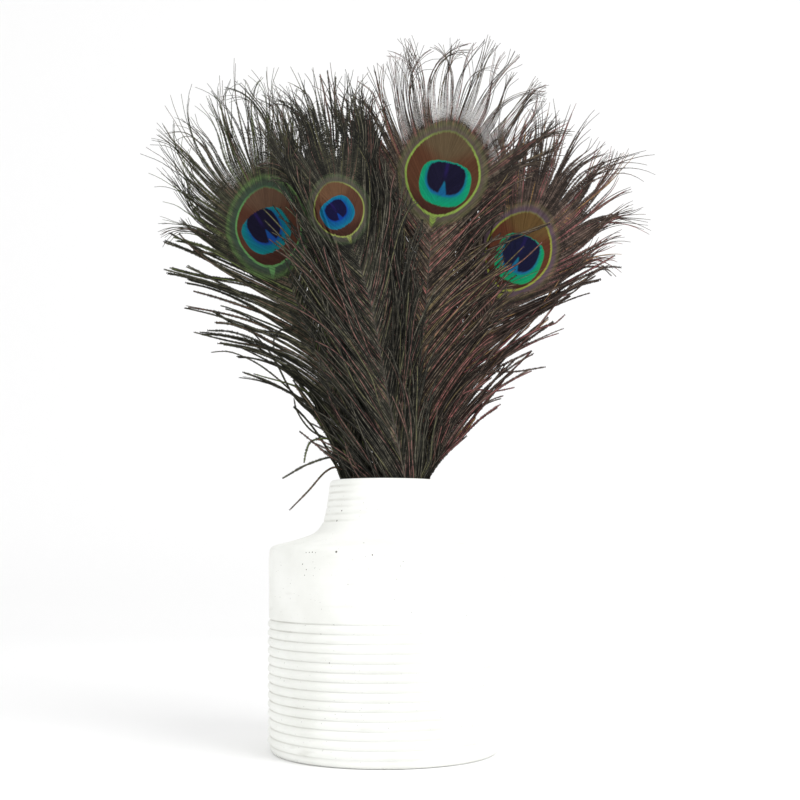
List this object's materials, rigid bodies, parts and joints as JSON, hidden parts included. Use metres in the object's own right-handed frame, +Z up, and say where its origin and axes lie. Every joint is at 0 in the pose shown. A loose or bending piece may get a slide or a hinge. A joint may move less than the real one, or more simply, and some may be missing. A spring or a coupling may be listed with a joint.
{
  "type": "peacock feathers in a vase",
  "caption": "Peacock train feathers with eyes and loose barbs, fanned out of the narrow neck of a small round white stoneware vase ribbed round its lower half.",
  "frame": {"origin": "centre of the vase's flat foot, on the surface it stands on", "axes": "+Z up along the vase's axis; the feathers' coloured faces look towards -Y; +X to the right as seen from there"},
  "size_m": [0.2461, 0.1166, 0.3543],
  "materials": {
    "stoneware": "matte",
    "barbs_left": "satin",
    "barbs_small": "satin",
    "barbs_middle": "satin",
    "barbs_right": "satin"
  },
  "bodies": {
    "root": {"vase": "stoneware", "feather_left": "barbs_left", "feather_small": "barbs_small", "feather_middle": "barbs_middle", "feather_right": "barbs_right"}
  },
  "joints": []
}
